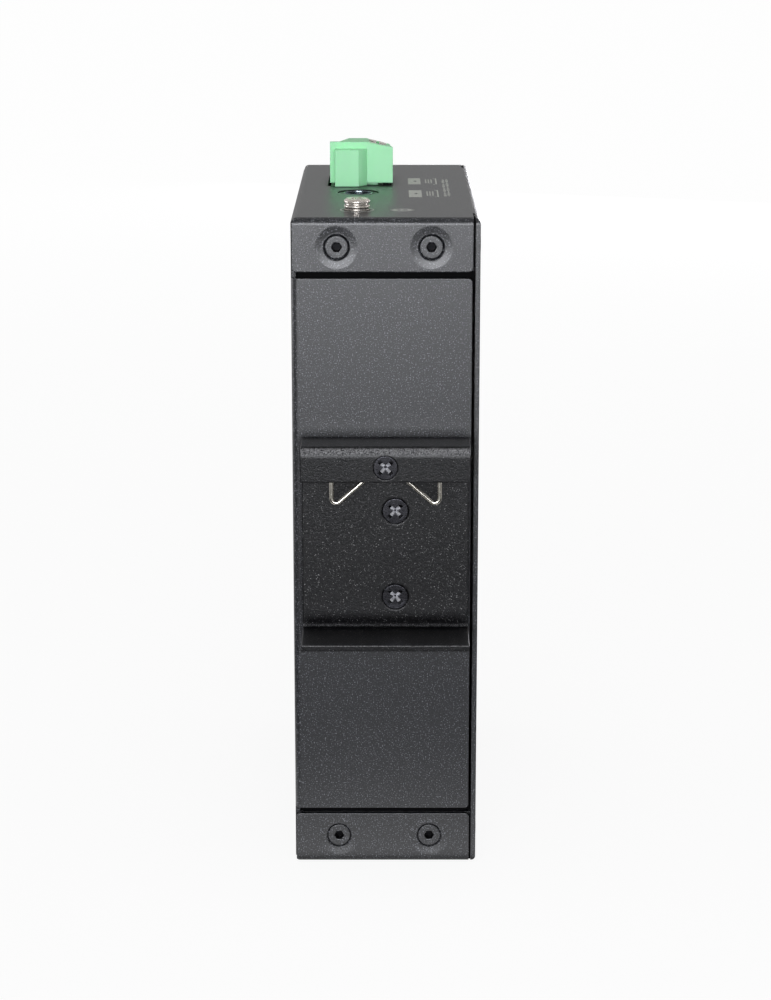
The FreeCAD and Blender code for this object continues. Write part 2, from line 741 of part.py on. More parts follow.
def make_ground_terminal():
    """Earth screw on the top panel with its flat washer, split washer and nut."""
    x, y, z = "ground_side", "rear + ground_from_rear", "case_height"
    washer = ring("ground_washer_ring", (x, y, z), "ground_washer_radius", "hole_radius",
                  "ground_washer_sheet")
    node(washer, "ground_flat_washer")
    z += " + ground_washer_sheet"
    spring = ring("ground_spring_ring", (x, y, z), "ground_head_radius", "hole_radius",
                  "ground_spring_sheet")
    slot = block("ground_spring_slot", (x, y + " - sheet_gap", z),
                 ("ground_head_radius + %g" % PAST, "2 * sheet_gap", "ground_spring_sheet"))
    node(carve("ground_spring_split", spring, [slot]), "ground_spring_washer")
    z += " + ground_spring_sheet"
    head = rod("ground_head", (x, y, z), "ground_head_radius",
               "ground_head_height - ground_head_chamfer")
    crown = cone("ground_head_crown", (x, y, z + " + ground_head_height - ground_head_chamfer"),
                 "ground_head_radius", "ground_head_radius - ground_head_chamfer",
                 "ground_head_chamfer")
    shank = rod("ground_shank", (x, y, z), "screw_radius", "screw_length + wall", "-Z")
    screw = carve("ground_screw_turned", join("ground_blank", [head, crown, shank]),
                  cross_recess("ground", (x, y, z + " + ground_head_height"), "screw_radius", "-Z"))
    node(screw, "ground_screw")
    nut = ring("ground_nut_ring", (x, y, "case_height - wall - nut_height"), "nut_radius", "nut_bore",
               "nut_height")
    node(nut, "ground_nut")


def make_power_socket():
    """Barrel socket for a round power plug, soldered to the board under the top panel."""
    x, y, top, low = "socket_side", SOCKET_ALONG, "case_height - wall - sheet_gap", "socket_low"
    body = block("socket_block", ("board_right", y + " - socket_body_side / 2", low),
                 ("socket_side + socket_body_side / 2 - board_right", "socket_body_side",
                  "socket_body_height"))
    nose = rod("socket_nose", (x, y, top), "socket_nose_radius", "wall")
    bore = rod("socket_bore", (x, y, top + " + wall - socket_bore_depth"), "socket_bore_radius",
               "socket_bore_depth")
    seat = rod("socket_pin_seat", (x, y, low), "socket_pin_radius", "socket_body_height")
    node(carve("socket_bored", join("socket_joined", [body, nose]), [bore, seat]), "power_socket")
    length = "(socket_body_height - wall - socket_pin_radius)"
    pin = rod("socket_pin_rod", (x, y, low), "socket_pin_radius", length)
    tip = cone("socket_pin_tip", (x, y, low + " + " + length), "socket_pin_radius",
               "socket_pin_radius / 2", "socket_pin_radius")
    node(join("socket_pin_turned", [pin, tip]), "power_socket_pin")


def make_terminal_header():
    """Open-topped header on the board, with one angled pin for each pole."""
    header = block("header_block", ("plug_left", "header_rear", "header_floor - header_wall"),
                   ("header_width", "plug_front - header_rear", "header_depth + header_wall"))
    well = block("header_well", ("plug_left + header_wall", "header_rear + header_wall",
                                 "header_floor"),
                 ("header_width - 2 * header_wall", "plug_front - header_rear - 2 * header_wall",
                  "header_depth + %g" % PAST))
    holes, pins = [], []
    for number in range(int(size("pole_count"))):
        at = ("header_middle - pin_side / 2", pole_place(number) + " - pin_side / 2",
              "header_floor - 3 * header_wall")
        extent = ("pin_side", "pin_side", "header_depth + 2 * header_wall")
        holes.append(block("header_pin_hole_%d" % number, at, extent))
        upright = block("header_pin_%d" % number, at, extent)
        leg = block("header_leg_%d" % number, ("plug_left",) + at[1:],
                    ("header_width / 2", "pin_side", "pin_side"))
        pins.append(join("header_angled_pin_%d" % number, [upright, leg]))
    node(carve("header_hollow", header, [well] + holes), "terminal_header")
    node(group("header_pins_group", pins), "terminal_pins")


def make_terminal_plug():
    """Screw plug that fills the header, with a taller wall and a flared key at its near end."""
    body = doc.addObject("PartDesign::Body", "plug_body")
    shoulder = "plug_low + plug_rise"
    crown = shoulder + " + plug_crown"
    profile = outline(body, "plug_profile", "XZ_Plane", "-plug_front", [
        ("plug_left", "plug_low"), ("plug_right", "plug_low"),
        ("plug_right", shoulder + " - plug_edge_drop"),
        ("plug_right - plug_edge_width", shoulder + " - plug_edge_fall"),
        ("plug_left + plug_crown_end", crown), ("plug_left + plug_crown_start", crown),
        ("plug_left + plug_shoulder", shoulder), ("plug_left", shoulder)])
    pad = body.newObject("PartDesign::Pad", "plug_pad")
    pad.Profile = profile
    pad.setExpression("Length", bound("plug_length - plug_gate_sheet / 2"))
    body.Tip = pad
    gate_body = doc.addObject("PartDesign::Body", "plug_gate_body")
    gate_top = shoulder + " + plug_gate_rise"
    face = outline(gate_body, "plug_gate_profile", "XZ_Plane", "-plug_rear - plug_gate_sheet", [
        ("plug_left", "plug_low"), ("plug_right", "plug_low"),
        ("plug_right", gate_top + " - plug_gate_fall"), ("plug_left + plug_crown_end", gate_top),
        ("plug_left", gate_top)])
    gate = gate_body.newObject("PartDesign::Pad", "plug_gate_pad")
    gate.Profile = face
    gate.setExpression("Length", bound("plug_gate_sheet"))
    gate_body.Tip = gate
    key_body = doc.addObject("PartDesign::Body", "plug_key_body")
    key_left, key_right = "plug_left + plug_key_left", "plug_left + plug_key_left + plug_key_width"
    near, far = "plug_rear - plug_key_depth", "plug_rear + plug_gate_sheet / 2"
    plan = outline(key_body, "plug_key_plan", "XY_Plane", "case_height + plug_key_lift", [
        (key_left, near), (key_right, near), (key_right + " + plug_key_flare", "plug_rear"),
        (key_right + " + plug_key_flare", far), (key_left, far)])
    key = key_body.newObject("PartDesign::Pad", "plug_key_pad")
    key.Profile = plan
    key.setExpression("Length", bound("plug_key_height"))
    key_body.Tip = key
    gap = "(header_wall + sheet_gap)"
    tongue = block("plug_tongue", ("plug_left + " + gap, "tongue_rear", "plug_low - plug_tongue"),
                   ("header_width - 2 * " + gap, "plug_front - %s - tongue_rear" % gap,
                    "plug_tongue"))
    cuts, screws = [], []
    slope_width = "(plug_width - plug_edge_width - plug_crown_end)"
    screw_side = "(plug_left + plug_crown_end + %s / 2)" % slope_width
    screw_top = "(%s - plug_edge_fall / 2 + plug_crown / 2 + clamp_screw_proud)" % shoulder
    lean = math.atan2(size("plug_crown") + size("plug_edge_fall"),
                      size("plug_width") - size("plug_edge_width") - size("plug_crown_end"))
    leaning = Rotation(Vector(0, 1, 0), math.degrees(lean)).multiply(AXES["-Z"])
    for number in range(int(size("pole_count"))):
        along = pole_place(number)
        cuts.append(block("plug_pin_slot_%d" % number,
                          ("header_middle - pin_side * 0.7", along + " - pin_side * 0.7",
                           "plug_low - plug_tongue - %g" % PAST),
                          ("pin_side * 1.4", "pin_side * 1.4",
                           "header_depth - header_wall + %g" % PAST)))
        cuts.append(block("plug_wire_entry_%d" % number,
                          ("plug_right - plug_width / 3", along + " - wire_entry / 2",
                           "plug_low + plug_lift"),
                          ("plug_width / 3 + %g" % PAST, "wire_entry", "wire_entry")))
        hole = rod("plug_screw_hole_%d" % number,
                   (screw_side + " + %g" % (PAST * math.sin(lean)), along,
                    screw_top + " + %g" % (PAST * math.cos(lean))),
                   "clamp_screw_radius + thread_gap", "clamp_screw_length + %g" % PAST)
        hole.Placement = Placement(Vector(), leaning)
        cuts.append(hole)
        head = rod("clamp_screw_rod_%d" % number, (screw_side, along, screw_top),
                   "clamp_screw_radius", "clamp_screw_length")
        head.Placement = Placement(Vector(), leaning)
        slot = block("clamp_screw_slot_%d" % number,
                     (screw_side + " - clamp_slot_width / 2", along + " - clamp_screw_radius",
                      screw_top + " - clamp_slot_depth"),
                     ("clamp_slot_width", "2 * clamp_screw_radius", "clamp_slot_depth + %g" % PAST))
        screws.append(carve("clamp_screw_%d" % number, head, [slot]))
    node(carve("plug_moulding", join("plug_joined", [body, gate_body, key_body, tongue]), cuts), "terminal_plug")
    node(group("clamp_screws_group", screws), "clamp_screws")


def make_board():
    """Upright circuit board on four pillars pressed into the left wall."""
    board = block("board_sheet_block", ("board_left", "board_rear", "board_low"),
                  ("board_sheet", "board_front - board_rear", "board_high - board_low"))
    holes, pillars, screws = [], [], []
    for number, (along, rise) in enumerate(standoff_places()):
        holes.append(rod("board_hole_%d" % number, ("board_left - %g" % PAST, along, rise),
                         "hole_radius", "board_sheet + %g" % (2 * PAST), "X"))
        foot = rod("pillar_foot_%d" % number, ("left", along, rise), "standoff_radius - 0.5",
                   "wall", "X")
        post = prism("pillar_post_%d" % number, ("left + wall", along, rise), 6, "standoff_radius",
                     "board_standoff", "X")
        bore = rod("pillar_bore_%d" % number, ("left + wall", along, rise), "nut_bore",
                   "board_standoff", "X")
        pillars.append(carve("pillar_%d" % number, join("pillar_blank_%d" % number, [foot, post]),
                             [bore]))
        head = rod("board_screw_head_%d" % number, ("board_right", along, rise), "nut_radius",
                   "head_depth + head_recess", "X")
        shank = rod("board_screw_shank_%d" % number, ("board_right", along, rise), "screw_radius",
                    "board_sheet + board_standoff - wall", "-X")
        screws.append(join("board_screw_turned_%d" % number, [head, shank]))
    node(carve("board_drilled", board, holes), "main_board")
    node(group("pillars_group", pillars), "board_pillars")
    node(group("board_screws_group", screws), "board_screws")


def make_port(number):
    """One shielded network jack: moulded insert, folded shield and spring contacts."""
    name = "port_%d" % (number + 1)
    middle = port_rise(number)
    back = "port_back"
    insert = block(name + "_block", ("port_left", back, middle + " - port_body_width / 2"),
                   ("port_body_height", "port_body_length", "port_body_width"))
    mouth_left = "port_left + port_lift"
    start = "port_face - port_depth"
    through = "port_depth + %g" % PAST
    cuts = [block(name + "_mouth", (mouth_left, start, middle + " - port_mouth_width / 2"),
                  ("port_mouth_height", through, "port_mouth_width")),
            block(name + "_latch", (mouth_left + " + port_mouth_height", start,
                                    middle + " - port_latch_width / 2"),
                  ("port_latch_height", through, "port_latch_width"))]
    lights = []
    extent = ("port_light_width", "port_light_depth", "port_light_height")
    for side in (-1, 1):
        low = (middle + " + %d * (port_body_width / 2 - port_light_edge - port_light_height / 2)"
               " - port_light_height / 2" % side)
        at = ("port_left + port_body_height - port_light_edge - port_light_width",
              "port_face - port_light_depth", low)
        cuts.append(block("%s_light_seat_%d" % (name, side), at, extent))
        lights.append(block("%s_light_%d" % (name, side), at, extent))
    node(carve(name + "_moulded", insert, cuts), name + "_insert")
    sheet = "shield_sheet"
    can = block(name + "_can", ("port_left - " + sheet, back + " - " + sheet,
                                middle + " - port_body_width / 2 - " + sheet),
                ("port_body_height + 2 * " + sheet, "port_body_length + %s - 0.1" % sheet,
                 "port_body_width + 2 * " + sheet))
    hollow = block(name + "_hollow", ("port_left", back, middle + " - port_body_width / 2"),
                   ("port_body_height", "port_body_length + %g" % PAST, "port_body_width"))
    node(carve(name + "_folded", can, [hollow]), name + "_shield")
    contacts = []
    for place in range(int(size("contact_count"))):
        low = (middle + " + (%d - (contact_count - 1) / 2) * contact_pitch - contact_width / 2"
               % place)
        contacts.append(block("%s_contact_%d" % (name, place), (mouth_left, start, low),
                              ("contact_sheet", "port_depth - contact_setback", "contact_width")))
    return lights, contacts


def make_ports():
    lights, contacts = [], []
    for number in range(int(size("port_count"))):
        port_lights, port_contacts = make_port(number)
        lights += port_lights
        contacts += port_contacts
    node(group("port_lights_group", lights), "port_lights")
    node(group("port_contacts_group", contacts), "port_contacts")


def make_status_lights():
    """Clear light guides clipped to the top sockets, from their sides to the port panel."""
    guides = []
    for number in range(int(size("light_count"))):
        rise = light_rise(number)
        side = LIGHT_SIDE
        thick = "(light_radius + sheet_gap)"
        arm = block("light_arm_%d" % number,
                    ("port_left + port_body_height + shield_sheet",
                     "front - light_depth - " + thick, rise + " - " + thick),
                    (side + " + %s - port_left - port_body_height - shield_sheet" % thick,
                     "2 * " + thick, "2 * " + thick))
        tip = rod("light_tip_%d" % number, (side, "front - light_depth", rise), "light_radius",
                  "light_depth + port_proud", "Y")
        guides.append(join("light_guide_%d" % number, [arm, tip]))
    node(group("light_guides_group", guides), "status_lights")


def make_components():
    """Main parts that stand on the board: transformers, chips, heat sink, coils, capacitors."""
    transformers = []
    behind = "port_back - transformer_gap - transformer_depth"
    for number in range(int(size("port_count"))):
        transformers.append(block("transformer_%d" % number,
                                  ("board_right", behind, port_rise(number) + " - port_mouth_width / 2"),
                                  ("transformer_rise", "transformer_depth", "port_mouth_width")))
    node(group("transformers_group", transformers), "port_transformers")
    chip_along = behind + " - component_gap - sink_side / 2"
    chip = block("switch_chip_block", ("board_right", chip_along + " - chip_side / 2",
                                       "case_height / 2 - chip_side / 2"),
                 ("chip_rise", "chip_side", "chip_side"))
    node(chip, "switch_chip")
    sink = block("heat_sink_block", ("board_right + chip_rise", chip_along + " - sink_side / 2",
                                     "case_height / 2 - sink_side / 2"),
                 ("sink_rise", "sink_side", "sink_side"))
    slots = []
    pitch = "(sink_side - fin_width) / (fin_count - 1)"
    for number in range(int(size("fin_count")) - 1):
        along = chip_along + " - sink_side / 2 + fin_width + %d * %s" % (number, pitch)
        slots.append(block("heat_sink_slot_%d" % number,
                           ("board_right + chip_rise + sink_base", along,
                            "case_height / 2 - sink_side / 2 - %g" % PAST),
                           ("sink_rise", pitch + " - fin_width", "sink_side + %g" % (2 * PAST))))
    node(carve("heat_sink_finned", sink, slots), "heat_sink")
    rear_row = "board_rear + component_gap"
    node(block("power_chip_block", ("board_right", rear_row, "case_height / 2"),
               ("power_chip_rise", "power_chip_side", "power_chip_side")), "power_chip")
    coils = []
    for number in range(int(size("coil_count"))):
        coil = block("coil_%d" % number, ("board_right", rear_row,
                                          "component_low + %d * (coil_side + component_gap)" % number),
                     ("coil_rise", "coil_side", "coil_side"))
        coils.append(soften("coil_round_%d" % number, coil, size("coil_corner"),
                            lambda edge: runs(edge, "x")))
    node(group("coils_group", coils), "power_coils")
    cans = []
    for number in range(int(size("can_count"))):
        at = ("board_right", "board_rear + standoff_setback + component_gap + can_radius",
              "socket_low - component_gap - can_radius - %d * (2 * can_radius + component_gap)" % number)
        can = rod("capacitor_%d" % number, at, "can_radius", "can_length - can_chamfer", "X")
        crown = cone("capacitor_crown_%d" % number, ("board_right + can_length - can_chamfer",) + at[1:],
                     "can_radius", "can_radius - can_chamfer", "can_chamfer", "X")
        cans.append(join("capacitor_turned_%d" % number, [can, crown]))
    node(group("capacitors_group", cans), "capacitors")


def check(things):
    """Stop if any feature failed or any sub-part isn't sound."""
    for thing in doc.Objects:
        if "Invalid" in thing.State or "Error" in thing.State:
            raise RuntimeError("%s failed: %s" % (thing.Name, thing.State))
    for thing in things:
        if thing.Shape.isNull() or not thing.Shape.isValid():
            raise RuntimeError("%s has no sound shape" % thing.Label)


make_cover()
make_chassis()
make_bracket()
make_spring()
make_fasteners()
make_ground_terminal()
make_power_socket()
make_terminal_header()
make_terminal_plug()
make_board()
make_ports()
make_status_lights()
make_components()
doc.recompute()
check(nodes)
os.makedirs("parts", exist_ok=True)
for thing in nodes:
    thing.Shape.exportStep("parts/%s.step" % thing.Label)
print("wrote %d parts" % len(nodes))
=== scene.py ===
import math
import bmesh
import bpy
from mathutils import Matrix, Vector


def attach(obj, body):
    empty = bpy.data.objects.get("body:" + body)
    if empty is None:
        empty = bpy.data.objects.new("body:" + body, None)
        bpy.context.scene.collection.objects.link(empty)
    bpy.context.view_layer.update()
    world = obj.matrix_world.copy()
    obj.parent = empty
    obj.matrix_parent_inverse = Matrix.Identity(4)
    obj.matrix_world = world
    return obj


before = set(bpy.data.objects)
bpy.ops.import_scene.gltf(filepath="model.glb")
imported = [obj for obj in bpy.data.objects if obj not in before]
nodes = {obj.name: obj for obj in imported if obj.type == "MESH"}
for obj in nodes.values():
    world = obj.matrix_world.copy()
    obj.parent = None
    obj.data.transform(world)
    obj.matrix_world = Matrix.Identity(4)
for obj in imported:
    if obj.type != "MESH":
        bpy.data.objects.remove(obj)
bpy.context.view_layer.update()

# Industrial network switch seen from the rail side, +Z up. The frame is in metres, and so are the
# lamps and the floor; the settings of the pieces and the finishes are in millimetres.

mm = 0.001
print("frame loaded:", len(nodes), "nodes")


def hexColour(text):  # an sRGB hex value as the linear colour that a socket holds
    parts = [int(text[i:i + 2], 16) / 255 for i in (1, 3, 5)]
    return [p / 12.92 if p <= 0.04045 else ((p + 0.055) / 1.055) ** 2.4 for p in parts] + [1.0]


def fillSockets(tree, node, inputs):  # an input is a link from another node, a hex colour or a number
    for socket, value in inputs.items():
        if isinstance(value, bpy.types.NodeSocket):
            tree.links.new(value, node.inputs[socket])
        else:
            node.inputs[socket].default_value = hexColour(value) if isinstance(value, str) else value


def addNode(tree, kind, inputs=None, output=0, **settings):  # gives back the output socket that is named
    node = tree.nodes.new("ShaderNode" + kind)
    for name, value in settings.items():
        setattr(node, name, value)
    fillSockets(tree, node, inputs or {})
    return node.outputs[output]


def startMaterial(name, look):
    material = bpy.data.materials.new(name)
    material.use_nodes = True
    tree = material.node_tree
    shader = tree.nodes["Principled BSDF"]
    fillSockets(tree, shader, {"Metallic": look.get("metal", 0.0),
                               "Specular IOR Level": look.get("specular", 0.5)})
    if "depth" in look:
        fillSockets(tree, shader, {"Subsurface Weight": look["depth"], "Subsurface Scale": mm,
                                   "Subsurface Radius": look["depthRadius"]})
    return material, tree, shader, addNode(tree, "TexCoord", output="Object")


def perMm(size):  # scale of a noise whose blotches are about this many mm
    return 1 / (size * mm)


# Lets the second colour through where a pattern is high
def mottle(tree, pattern, limits, first, second, amount=1.0):
    share = addNode(tree, "MapRange", {"Value": pattern, "From Min": limits[0], "From Max": limits[1],
                                       "To Max": amount})
    return addNode(tree, "Mix", {0: share, 6: first, 7: second}, 2, data_type="RGBA")


# Roughness that a pattern takes a little below and above its middle value
def roughen(tree, shader, pattern, middle, below, above, limits=(0.3, 0.7)):
    rough = addNode(tree, "MapRange", {"Value": pattern, "From Min": limits[0], "From Max": limits[1],
                                       "To Min": middle - below, "To Max": middle + above})
    tree.links.new(rough, shader.inputs["Roughness"])


# Painted highlight on bends: a lighter colour where a rounded edge looks half upwards and nothing stands
# close to it
bendHighlightLook = {"starts": 0.15, "full": 0.5, "fades": 0.8, "gone": 0.95, "shut": 0.86, "open": 0.97}


def bendHighlightMask(tree, normal, openness, amount, look=bendHighlightLook):
    upward = addNode(tree, "SeparateXYZ", {0: normal}, "Z")
    rising = addNode(tree, "MapRange", {"Value": upward, "From Min": look["starts"],
                                        "From Max": look["full"]})
    falling = addNode(tree, "MapRange", {"Value": upward, "From Min": look["fades"],
                                         "From Max": look["gone"], "To Min": amount, "To Max": 0.0})
    bare = addNode(tree, "MapRange", {"Value": openness, "From Min": look["shut"],
                                      "From Max": look["open"]})
    facing = addNode(tree, "Math", {0: rising, 1: falling}, operation="MULTIPLY")
    return addNode(tree, "Math", {0: facing, 1: bare}, operation="MULTIPLY")


# What every powder coat starts from; limits are on a pattern's value or on how open a spot is
coatStart = {
    "cloudSize": 18.0, "cloudLimits": (0.35, 0.65), "gritLimits": (0.45, 0.72), "dotSpan": 0.08,
    "bendLimits": (0.35, 0.65), "roughSpan": 0.05, "openFrom": 0.97, "shadeLimits": (0.9, 0.6),
    "shadeColour": "#060607", "peelDepth": 0.06,
}


def powderCoat(name, look):  # baked powder paint: dense fine grit, painted glints as a few pale dots, a painted highlight on upward bends, painted shade in corners, soft edges
    look = {**coatStart, **look}
    material, tree, shader, where = startMaterial(name, look)
    cloud = addNode(tree, "TexNoise", {"Vector": where, "Scale": perMm(look["cloudSize"]), "Detail": 3.0})
    grit = addNode(tree, "TexNoise", {"Vector": where, "Scale": perMm(look["gritSize"]),
                                      "Roughness": 0.6})
    dots = addNode(tree, "TexNoise", {"Vector": where, "Scale": perMm(look["dotSize"]), "Detail": 1.0})
    base = mottle(tree, cloud, look["cloudLimits"], look["colour"], look["cloudColour"])
    base = mottle(tree, grit, look["gritLimits"], base, look["grainColour"], look["grain"])
    # Painted glints: pale dots mixed into the colour where the grit's raised grains would catch the light
    dotLimits = (look["dotStart"], look["dotStart"] + look["dotSpan"])
    base = mottle(tree, dots, dotLimits, base, look["paintedGlintColour"], look["paintedGlint"])
    roughen(tree, shader, grit, look["roughness"], look["roughSpan"], look["roughSpan"])
    edge = addNode(tree, "Bevel", {"Radius": look["edge"] * mm}, samples=8)
    openness = addNode(tree, "AmbientOcclusion", {"Distance": look["cornerReach"] * mm}, "AO", samples=4)
    # Painted highlight: a paler, gritty colour on bends that face half upwards and stand open
    bend = mottle(tree, grit, look["bendLimits"], base, look["bendHighlightColour"])
    bendLit = bendHighlightMask(tree, edge, openness, look["bend"])
    base = addNode(tree, "Mix", {0: bendLit, 6: base, 7: bend}, 2, data_type="RGBA")
    # The shine drops in corners and recesses: a thinner coat there, and painted shade on the reflection
    shine = addNode(tree, "MapRange", {"Value": openness, "From Min": look["cornerStart"],
                                       "From Max": look["openFrom"], "To Min": look["cornerShine"],
                                       "To Max": look["specular"]})
    peel = addNode(tree, "TexNoise", {"Vector": where, "Scale": perMm(look["peelSize"]), "Detail": 1.0})
    skin = addNode(tree, "Bump", {"Height": peel, "Distance": look["peelDepth"] * mm,
                                  "Strength": look["peel"], "Normal": edge})
    fine = addNode(tree, "Bump", {"Height": grit, "Distance": look["gritDepth"] * mm,
                                  "Strength": 1.0, "Normal": skin})
    # Painted shade: the colour darkens towards shadeColour in corners and recesses within cornerReach
    shaded = mottle(tree, openness, look["shadeLimits"], base, look["shadeColour"], look["cornerShade"])
    fillSockets(tree, shader, {"Base Color": shaded, "Specular IOR Level": shine, "Normal": fine})
    return material


# What every plated or bare metal starts from. Turning marks are drawn coarser than real ones, which wouldn't
# show; groove shade is painted shade that darkens the colour in grooves.
steelStart = {
    "metal": 1.0, "stainSize": 1.6, "stainLimits": (0.35, 0.7), "grooveReach": 0.5, "grooveShade": 0.3,
    "grooveShadeLimits": (0.85, 0.45), "grooveShadeColour": "#1b1916", "lines": (1, 1, 6), "lineSize": 0.35,
    "lineDepth": 0.01, "lineStrength": 0.35, "smoother": 0.06, "rougher": 0.08, "edge": 0.12,
}


def platedSteel(name, look):  # zinc or nickel over machined steel: turning marks and faint stains
    look = {**steelStart, **look}
    material, tree, shader, where = startMaterial(name, look)
    stain = addNode(tree, "TexNoise", {"Vector": where, "Scale": perMm(look["stainSize"]), "Detail": 3.0})
    colour = mottle(tree, stain, look["stainLimits"], look["colour"], look["stainColour"])
    # Painted shade: the colour darkens in grooves and hollows within grooveReach
    groove = addNode(tree, "AmbientOcclusion", {"Distance": look["grooveReach"] * mm}, "AO", samples=4)
    grooveShaded = mottle(tree, groove, look["grooveShadeLimits"], colour, look["grooveShadeColour"], look["grooveShade"])
    drawn = addNode(tree, "Mapping", {"Vector": where, "Scale": look["lines"]})
    lines = addNode(tree, "TexNoise", {"Vector": drawn, "Scale": perMm(look["lineSize"])})
    roughen(tree, shader, lines, look["roughness"], look["smoother"], look["rougher"])
    edge = addNode(tree, "Bevel", {"Radius": look["edge"] * mm}, samples=4)
    marks = addNode(tree, "Bump", {"Height": lines, "Distance": look["lineDepth"] * mm,
                                   "Strength": look["lineStrength"], "Normal": edge})
    fillSockets(tree, shader, {"Base Color": grooveShaded, "Normal": marks})
    return material


# What every moulding starts from. The grain is drawn coarser than a real tool's, which wouldn't show.
mouldingStart = {
    "flow": (1, 1, 0.3), "flowSize": 5.0, "flowLimits": (0.3, 0.7), "grainSize": 0.16, "grainDepth": 0.012,
    "grain": 0.4, "smoother": 0.04, "rougher": 0.06, "edge": 0.2,
}


def moulding(name, look):  # injection moulded plastic: spark-eroded grain and slight flow marks
    look = {**mouldingStart, **look}
    material, tree, shader, where = startMaterial(name, look)
    drawn = addNode(tree, "Mapping", {"Vector": where, "Scale": look["flow"]})
    flow = addNode(tree, "TexNoise", {"Vector": drawn, "Scale": perMm(look["flowSize"])})
    colour = mottle(tree, flow, look["flowLimits"], look["colour"], look["flowColour"])
    grain = addNode(tree, "TexNoise", {"Vector": where, "Scale": perMm(look["grainSize"])})
    roughen(tree, shader, grain, look["roughness"], look["smoother"], look["rougher"])
    edge = addNode(tree, "Bevel", {"Radius": look["edge"] * mm}, samples=4)
    sparked = addNode(tree, "Bump", {"Height": grain, "Distance": look["grainDepth"] * mm,
                                     "Strength": look["grain"], "Normal": edge})
    fillSockets(tree, shader, {"Base Color": colour, "Normal": sparked})
    return material


def clearMoulding(name, look):  # clear or tinted light guide, frosted at its face
    material = moulding(name, look)
    tree = material.node_tree
    fillSockets(tree, tree.nodes["Principled BSDF"], {"Transmission Weight": look["clear"],
                                                      "IOR": look["bending"]})
    return material


# What every printed ink starts from
inkStart = {"wearSize": 0.5, "wearLimits": (0.45, 0.75), "wearDepth": 0.01, "wearStrength": 0.3}


def printedInk(name, look):  # screen printed: thin and matt, with worn grain that lets the coat through
    look = {**inkStart, **look}
    material, tree, shader, where = startMaterial(name, look)
    wear = addNode(tree, "TexNoise", {"Vector": where, "Scale": perMm(look["wearSize"]), "Detail": 3.0,
                                      "Roughness": 0.7})
    colour = mottle(tree, wear, look["wearLimits"], look["colour"], look["wornColour"])
    rubbed = addNode(tree, "Bump", {"Height": wear, "Distance": look["wearDepth"] * mm,
                                    "Strength": look["wearStrength"]})
    fillSockets(tree, shader, {"Base Color": colour, "Roughness": look["roughness"], "Normal": rubbed})
    return material


